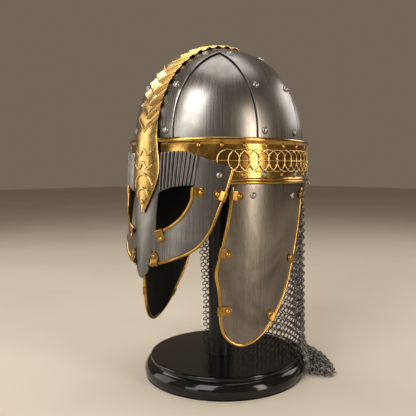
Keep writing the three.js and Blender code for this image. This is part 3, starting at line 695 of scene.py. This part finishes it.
def leaf_place(u, v):
    """Where the leaf's sheet goes: u across it, v down it."""
    z, width, slope = smooth(LEAF, v)
    share = 2 * u - 1
    x = max(width, 0.4) * share
    return crest_point(x, leaf_run(z) - slope * abs(x), leaf_lift(share)) * MM


def leaf_spot(x, z, lift):
    """A spot on the leaf's face, or lifted off it."""
    width = reading([(row[0], row[1]) for row in LEAF], z)
    return crest_point(x, leaf_run(z), leaf_lift(min(1, abs(x) / width)) + lift) * MM


leaf = bent_sheet(28, 66, leaf_place)
face_out(leaf)
make_piece("crest_leaf", leaf, CREST_FACES, ["crest"], sheet=PLATE_SHEET, edge=0.35)

leaf_lines = bmesh.new()
for top, low, width in LEAF_ZIGZAGS:
    points = []
    for k in range(49):
        across, rise = smooth(ZIGZAG, k / 48)
        points.append(leaf_spot(across * width, low + (top - low) * rise, 0.4))
    add_wire(leaf_lines, points, [0.5 + math.sin(math.pi * k / 48) ** 0.3 for k in range(49)])
for top, low, width in LEAF_ARCHES:
    points = []
    for k in range(41):
        angle = math.pi * k / 40
        points.append(leaf_spot(-math.cos(angle) * width, low + (top - low) * math.sin(angle), 0.3))
    add_wire(leaf_lines, points, [0.6 + 1.15 * math.sin(math.pi * k / 40) ** 0.6 for k in range(41)])
bmesh.ops.remove_doubles(leaf_lines, verts=leaf_lines.verts, dist=1e-7)
bmesh.ops.recalc_face_normals(leaf_lines, faces=leaf_lines.faces)
add_rivet(leaf_lines, leaf_spot(0, LEAF_RIVET["z"], 0.3), Vector((0, -1, 0)), *LEAF_RIVET["head"])
make_piece("leaf_lines", leaf_lines, [WIRE_BRASS], angle=80)


# Ocular: one half round its eye hole, then mirrored
OCULAR_TURN_MM = math.radians(1) * OCULAR["a"]
EDGE_WIRE = shifted(OCULAR_EDGE, OCULAR_WIRE["inset"], OCULAR_TURN_MM)
EYE_WIRE = shifted(EYE_LOW, OCULAR_WIRE["eye"], OCULAR_TURN_MM)


def ocular_point(turn, z, out):
    """A point on the mask, which leans out as it goes down and is ridged down the nasal."""
    ridge = 2.2 * min(1, max(0, (205 - z) / 55)) * max(0, 1 - abs(turn) / 9)
    rise = out + ridge
    return wall(OCULAR["a"] + rise, OCULAR["b"] + OCULAR["lean"] * (OCULAR["from"] - z) + rise, turn, z)


def ocular_stations():
    """Rows of (eye turn, eye height, edge turn, edge height, flute) round one eye hole."""
    rows = [(*row, 0) for row in NASAL_TOP]
    count = 2 * FLUTES["count"]
    for k in range(count + 1):
        eye = FLUTES["eye"][0] + (FLUTES["eye"][1] - FLUTES["eye"][0]) * k / count
        brow = FLUTES["brow"][0] + (FLUTES["brow"][1] - FLUTES["brow"][0]) * k / count
        rows.append((eye, reading(EYE_TOP, eye), brow, reading(BROW_TOP, brow), k / 2))
    for height, brow in ((239.6, 43), (237.6, 49), (235.4, EDGE_WIRE[0][0])):
        rows.append((EYE_WIRE[0][0], height, brow, reading(BROW_TOP, brow), FLUTES["count"]))
    for eye, edge in list(zip(EYE_WIRE, EDGE_WIRE))[1:]:
        rows.append((*eye, *edge, FLUTES["count"]))
    rows.extend((*row, FLUTES["count"]) for row in NASAL)
    rows.append((*NASAL_TOP[0], FLUTES["count"]))
    return rows


STATIONS = ocular_stations()


def ocular_place(u, v):
    """Where the mask's sheet goes: u from eye hole to edge, v round the eye."""
    eye_turn, eye_z, edge_turn, edge_z, flute = smooth(STATIONS, v)
    rib = math.sqrt(abs(math.sin(math.pi * min(max(flute, 0), FLUTES["count"]))))
    turn = max(0, eye_turn + (edge_turn - eye_turn) * u)
    return ocular_point(turn, eye_z + (edge_z - eye_z) * u, FLUTES["height"] * rib)


ocular = bent_sheet(16, 6 * (len(STATIONS) - 1), ocular_place)
bmesh.ops.remove_doubles(ocular, verts=ocular.verts, dist=1e-6)
bmesh.ops.mirror(ocular, geom=everything(ocular), matrix=Matrix(), merge_dist=1e-6, axis="X")
face_out(ocular)
MASK_FACES = [MASK_STEEL, INNER_BLACK]
make_piece("ocular_mask", ocular, MASK_FACES, ["ocular"], sheet=PLATE_SHEET, edge=0.3, angle=60)

plate_heads = bmesh.new()
for sign in (1, -1):
    turn = sign * OCULAR_RIVET["turn"]
    spot = ocular_point(turn, OCULAR_RIVET["z"], 0)
    add_rivet(plate_heads, spot, wall_out(OCULAR["a"], OCULAR["b"], turn), *OCULAR_RIVET["head"])


# Cheek plates
def cheek_point(turn, z, out):
    """A point on a cheek plate, which draws in towards its foot."""
    narrow = 1 - 0.11 * max(0, (240 - z) / 175)
    return wall(CHEEK[0] * narrow + out, CHEEK[1] * narrow + out, turn, z)


for side, sign in (("left", 1), ("right", -1)):
    def cheek_place(u, v):
        front = smooth(CHEEK_FRONT, v)
        rear = smooth(CHEEK_REAR, v)
        turn = sign * (front[0] + (rear[0] - front[0]) * u)
        return cheek_point(turn, front[1] + (rear[1] - front[1]) * u, 0)

    cheek = bent_sheet(28, 72, cheek_place)
    face_out(cheek)
    node = f"cheek_plate_{side}"
    cheek_faces = [CHEEK_STEEL, INNER_BLACK]
    make_piece(f"{node}_sheet", cheek, cheek_faces, [node], sheet=PLATE_SHEET, edge=0.3)
    for turn, z in CHEEK_RIVETS["spots"]:
        spot = cheek_point(sign * turn, z, 0)
        add_rivet(plate_heads, spot, wall_out(*CHEEK, sign * turn), *CHEEK_RIVETS["head"])
make_piece("plate_rivets", plate_heads, [RIVET_STEEL])


# Brass wires along the edges, and the clips that hold them
def ocular_wire_point(turn, z):
    """The middle of the mask's edge wire."""
    return ocular_point(turn, z, OCULAR_WIRE["lift"])


def cheek_wire_point(turn, z):
    """The middle of a cheek plate's edge wire."""
    return cheek_point(turn, z, CHEEK_WIRE["lift"])


CHEEK_LINE = list(CHEEK_FRONT[1:]) + list(CHEEK_REAR[:0:-1])
OCULAR_WALL = (OCULAR["a"], OCULAR["b"])
# Name, line of the wire, its point, its radius, the clips' turns and heights, side of the clips, wall
TRIMS = (
    (
        "ocular_eye", EYE_WIRE, ocular_wire_point, OCULAR_WIRE["radius"],
        ((36, 233.5), (14, 188)), 1, OCULAR_WALL,
    ),
    (
        "ocular_edge", EDGE_WIRE, ocular_wire_point, OCULAR_WIRE["radius"],
        ((51.5, 229), (10.4, 153)), -1, OCULAR_WALL,
    ),
    (
        "cheek", CHEEK_LINE, cheek_wire_point, CHEEK_WIRE["radius"],
        ((56, 229), (49.5, 166.5), (49.3, 100.4), (116.6, 226.2), (106.6, 150.4), (88, 87)), 1, CHEEK,
    ),
)


def clip_sheet(spot, along, outward, away, radius, face):
    """A tab lying on the plate and bent over the wire, with a rounded tail."""
    over = radius + CLIP["gap"] + CLIP["sheet"]
    flat = face + CLIP["seat"] + CLIP["sheet"]
    path = [(-CLIP["length"], flat), (-CLIP["length"] * 0.7, flat), (-CLIP["length"] * 0.45, flat)]
    for bend in (118, 88, 58, 28, -2, -32, -62):
        path.append((over * math.cos(math.radians(bend)), over * math.sin(math.radians(bend))))

    def place(u, v):
        x, y = smooth(path, v)
        tail = (x + CLIP["length"]) / (CLIP["width"] / 2)
        width = CLIP["width"] / 2
        if tail < 1:
            width *= math.sqrt(max(0.08, 1 - (1 - tail) ** 2))
        return spot + (away * x + outward * y + along * (2 * u - 1) * width) * MM

    bm = bent_sheet(10, 36, place)
    bmesh.ops.recalc_face_normals(bm, faces=bm.faces)
    bm.normal_update()
    half_way = -CLIP["length"] * 0.5 * MM
    tail_faces = [f for f in bm.faces if (f.calc_center_median() - spot).dot(away) < half_way]
    if sum(f.normal.dot(outward) for f in tail_faces) < 0:
        bmesh.ops.reverse_faces(bm, faces=bm.faces)
    return bm, spot + (outward * flat - away * CLIP["rivet"]) * MM


clip_heads = bmesh.new()
for kind, line, point, radius, clips, away_sign, reach in TRIMS:
    for side, sign in (("left", 1), ("right", -1)):
        count = 8 * (len(line) - 1)
        run = [point(sign * turn, z) for turn, z in (smooth(line, k / count) for k in range(count + 1))]
        trim = bmesh.new()
        add_wire(trim, run, [radius] * len(run))
        bmesh.ops.remove_doubles(trim, verts=trim.verts, dist=1e-7)
        bmesh.ops.recalc_face_normals(trim, faces=trim.faces)
        make_piece(f"{kind}_wire_{side}", trim, [TRIM_BRASS], [f"{kind}_trim_{side}"], angle=80)
        for number, (turn, z) in enumerate(clips, 1):
            target = point(sign * turn, z)
            near = min(range(1, count), key=lambda k: (run[k] - target).length)
            along = (run[near + 1] - run[near - 1]).normalized()
            outward = wall_out(*reach, sign * turn)
            outward = (outward - along * outward.dot(along)).normalized()
            away = along.cross(outward) * away_sign * sign
            face = -CHEEK_WIRE["lift"] if kind == "cheek" else -OCULAR_WIRE["lift"]
            tab, seat = clip_sheet(run[near], along, outward, away, radius, face)
            make_piece(
                f"{kind}_tab_{side}_{number}", tab, [CLIP_BRASS, CLIP_BRASS],
                [f"{kind}_clip_{side}_{number}"], sheet=CLIP["sheet"], edge=0.25, angle=60,
            )
            add_rivet(clip_heads, seat, outward, *CLIP["head"])
make_piece("clip_rivets", clip_heads, [TRIM_BRASS])


# Mail curtain of linked rings
def mail_path():
    """The curtain's drop as (length, swell, reach, height) rows."""
    rows = [(0.0, *MAIL_DROP[0])]
    for before, after in zip(MAIL_DROP, MAIL_DROP[1:]):
        step = math.hypot(max(after[1], 100) - max(before[1], 100), after[2] - before[2])
        rows.append((rows[-1][0] + step, *after))
    return rows


MAIL_PATH = mail_path()


def mail_row(length):
    """Swell, reach and height at a length down the curtain."""
    for before, after in zip(MAIL_PATH, MAIL_PATH[1:]):
        if length <= after[0]:
            share = (length - before[0]) / (after[0] - before[0])
            return [b + (a - b) * share for b, a in zip(before[1:], after[1:])]
    return MAIL_PATH[-1][1:]


def mail_point(turn, length, out):
    """A point on the curtain, tucked in at its front edges and pushed out past the base."""
    swell, reach, z = mail_row(length)
    behind = min(turn, 360 - turn)
    share = min(1, max(0, (behind - MAIL["tuck_from"]) / MAIL["tuck_over"]))
    inset = MAIL["tuck"] * (1 - share * share * (3 - 2 * share)) - swell + MAIL["half"] - out
    point = wall(MAIL["a"] - inset, MAIL["b"] - inset, turn, z)
    distance = math.hypot(point.x, point.y)
    push = max(1, (reach - MAIL["half"] + out) * MM / distance)
    return Vector((point.x * push, point.y * push, point.z))


def ring_template(radius, wire, steps, sides):
    """One ring of wire, as lists of its points and faces."""
    bm = bmesh.new()
    bmesh.ops.create_circle(bm, segments=sides, radius=wire * MM)
    bmesh.ops.rotate(bm, verts=bm.verts, cent=(0, 0, 0), matrix=Matrix.Rotation(math.pi / 2, 3, "X"))
    bmesh.ops.translate(bm, verts=bm.verts, vec=(radius * MM, 0, 0))
    bmesh.ops.spin(
        bm, geom=everything(bm), cent=(0, 0, 0), axis=(0, 0, 1), angle=math.tau, steps=steps, use_merge=True
    )
    bmesh.ops.recalc_face_normals(bm, faces=bm.faces)
    bm.verts.index_update()
    points = [vert.co.copy() for vert in bm.verts]
    faces = [[vert.index for vert in face.verts] for face in bm.faces]
    bm.free()
    return points, faces


def linked_rings(name, places, template, nodes=()):
    """Copies of one ring joined in a single mesh."""
    ring_points, ring_faces = template
    points = []
    faces = []
    for place in places:
        first = len(points)
        points.extend(place @ point for point in ring_points)
        faces.extend([first + corner for corner in face] for face in ring_faces)
    mesh = bpy.data.meshes.new(name)
    mesh.from_pydata(points, [], faces)
    bm = bmesh.new()
    bm.from_mesh(mesh)
    bpy.data.meshes.remove(mesh)
    return make_piece(name, bm, [MAIL_WIRE], nodes, angle=80)


def ring_place(point, out, tilt, yaw, roll):
    """Stands a ring in the curtain: out is the curtain's outward direction there."""
    across = Vector((0, 0, 1)).cross(out).normalized()
    down = out.cross(across).normalized()
    basis = Matrix((across, down, out)).transposed().to_4x4()
    turn = Matrix.Rotation(yaw, 4, "Y") @ Matrix.Rotation(tilt, 4, "X") @ Matrix.Rotation(roll, 4, "Z")
    return Matrix.Translation(point) @ basis @ turn


chance = random.Random(41)
curtain = {"left": [], "back": [], "right": []}


def side_of(turn):
    """Which of the curtain's three pieces a turn falls in."""
    return "left" if turn < 155 else "right" if turn > 205 else "back"


for row in range(int(MAIL_PATH[-1][0] / RINGS["row"])):
    length = RINGS["first"] + row * RINGS["row"]
    edge = reading(MAIL_FRONT, mail_row(length)[2]) + RINGS["inset"]
    for column in range(RINGS["columns"] - row % 2):
        turn = edge + (360 - 2 * edge) * (column + 0.5 * (row % 2)) / (RINGS["columns"] - 1)
        fold = 1.1 * math.sin(math.radians(turn * 9 + 20 * math.sin(length / 60)))
        point = mail_point(turn, length, fold)
        ahead = mail_point(turn + 1, length, fold)
        below = mail_point(turn, length + 2, fold)
        out = (below - point).cross(ahead - point).normalized()
        if out.dot(Vector((point.x, point.y - MIDDLE.y, 0.02))) < 0:
            out = -out
        tilt = math.radians((RINGS["tilt"] if row % 2 else -RINGS["tilt"]) + chance.uniform(-8, 8))
        yaw = math.radians(chance.uniform(-12, 12))
        curtain[side_of(turn)].append(ring_place(point, out, tilt, yaw, chance.uniform(0, 1)))
for _ in range(HEAP["rings"]):
    turn = chance.uniform(*HEAP["turns"])
    heap = 0.5 + 0.5 * math.sin(math.radians(turn * 7 + 40))
    reach = HEAP["inner"] + HEAP["depth"] * chance.random()
    height = HEAP["low"] + heap * HEAP["rise"] * chance.random() * (1 - (reach - HEAP["inner"]) / 0.036)
    angle = math.radians(turn)
    point = Vector((reach * math.sin(angle), -reach * math.cos(angle), height))
    lean = Vector((chance.uniform(-0.9, 0.9), chance.uniform(-0.9, 0.9), 1)).normalized()
    low = RINGS["ring"] * math.sqrt(1 - lean.z ** 2) + RINGS["wire"]
    point.z = max(point.z, low * MM)
    curtain[side_of(turn)].append(ring_place(point, lean, 0, 0, 0))
hooks = []
for k in range(HOOKS["count"]):
    turn = HOOKS["first"] + k * HOOKS["span"] / (HOOKS["count"] - 1)
    out = wall_out(*BAND, turn)
    point = wall(BAND[0] - HOOKS["inset"], BAND[1] - HOOKS["inset"], turn, HOOKS["z"])
    hooks.append(ring_place(point, out, math.radians(chance.uniform(-10, 10)), math.radians(80), 0))
RING = ring_template(RINGS["ring"], RINGS["wire"], 12, 5)
linked_rings("mail_rings_left", curtain["left"], RING, ["mail_curtain"])
linked_rings("mail_rings_back", curtain["back"], RING, ["mail_curtain"])
linked_rings("mail_rings_right", curtain["right"], RING, ["mail_curtain"])
linked_rings("mail_hooks", hooks, ring_template(HOOKS["ring"], HOOKS["wire"], 16, 6))


# Floor, light and camera
floor_bm = bmesh.new()
bmesh.ops.create_grid(floor_bm, x_segments=2, y_segments=2, size=6)
floor_mesh = bpy.data.meshes.new("floor")
floor_bm.to_mesh(floor_mesh)
floor_bm.free()
floor = bpy.data.objects.new("floor", floor_mesh)
bpy.context.scene.collection.objects.link(floor)
floor_finish, floor_tree, floor_shader = new_finish("pale floor")
floor_cloud = noise(floor_tree, (3, 3, 3), detail=4)
floor_tone = colours(floor_tree, floor_cloud, ((0.3, (0.62, 0.55, 0.46)), (0.7, (0.68, 0.61, 0.52))))
floor_tree.links.new(floor_tone, floor_shader.inputs["Base Color"])
floor_shader.inputs["Roughness"].default_value = 0.6
floor_mesh.materials.append(floor_finish)

world = bpy.data.worlds.new("studio")
world.use_nodes = True
world.node_tree.nodes["Background"].inputs["Color"].default_value = (0.7, 0.55, 0.4, 1)
world.node_tree.nodes["Background"].inputs["Strength"].default_value = 0.24
bpy.context.scene.world = world


def softbox(name, place, aim, size, power, tint=(1, 0.97, 0.93)):
    """A square-edged soft lamp turned towards aim."""
    lamp = bpy.data.lights.new(name, "AREA")
    lamp.shape = "RECTANGLE"
    lamp.size, lamp.size_y = size
    lamp.energy = power
    lamp.color = tint
    holder = bpy.data.objects.new(name, lamp)
    holder.location = place
    holder.rotation_euler = (Vector(aim) - Vector(place)).to_track_quat("-Z", "Y").to_euler()
    bpy.context.scene.collection.objects.link(holder)


def turned_place(turn, height, distance):
    """A lamp's place at a turn from the helmet's front."""
    angle = math.radians(turn)
    return (distance * math.sin(angle), -distance * math.cos(angle), height)


WARM = (1, 0.95, 0.88)
softbox("front", turned_place(18, 1.0, 1.15), (0, 0, 0.3), (0.6, 1.2), 14)
softbox("face", turned_place(2, 0.4, 1.6), (0, 0, 0.25), (0.5, 0.5), 3, WARM)
softbox("crest", turned_place(-92, 1.3, 1.15), (0, 0, 0.36), (0.6, 0.5), 5, WARM)
softbox("strip", turned_place(97, 0.45, 1.5), (0, 0, 0.25), (0.34, 1.3), 13, (1, 0.88, 0.74))
softbox("far", turned_place(-50, 0.65, 1.6), (0, 0, 0.3), (0.9, 1.3), 9, WARM)
softbox("rear", turned_place(168, 0.9, 1.6), (0, 0, 0.3), (0.8, 0.8), 6)
softbox("top", (0.0, 0.3, 1.9), (0, 0, 0.3), (1.2, 1.2), 9)
bpy.context.scene.view_settings.view_transform = "Standard"

PICTURE_PIXELS = 416
FOCAL_PIXELS = 550.7
camera = bpy.data.cameras.new("camera")
camera.sensor_width = 36
camera.lens = 36 * FOCAL_PIXELS / PICTURE_PIXELS
camera.clip_start = 0.01
eye = bpy.data.objects.new("camera", camera)
eye.location = (0.5122, -0.4937, 0.26)
eye.rotation_euler = (math.radians(90), 0, math.radians(46.05))
camera.shift_x = -0.0393
camera.shift_y = -0.0966
bpy.context.scene.collection.objects.link(eye)
bpy.context.scene.camera = eye
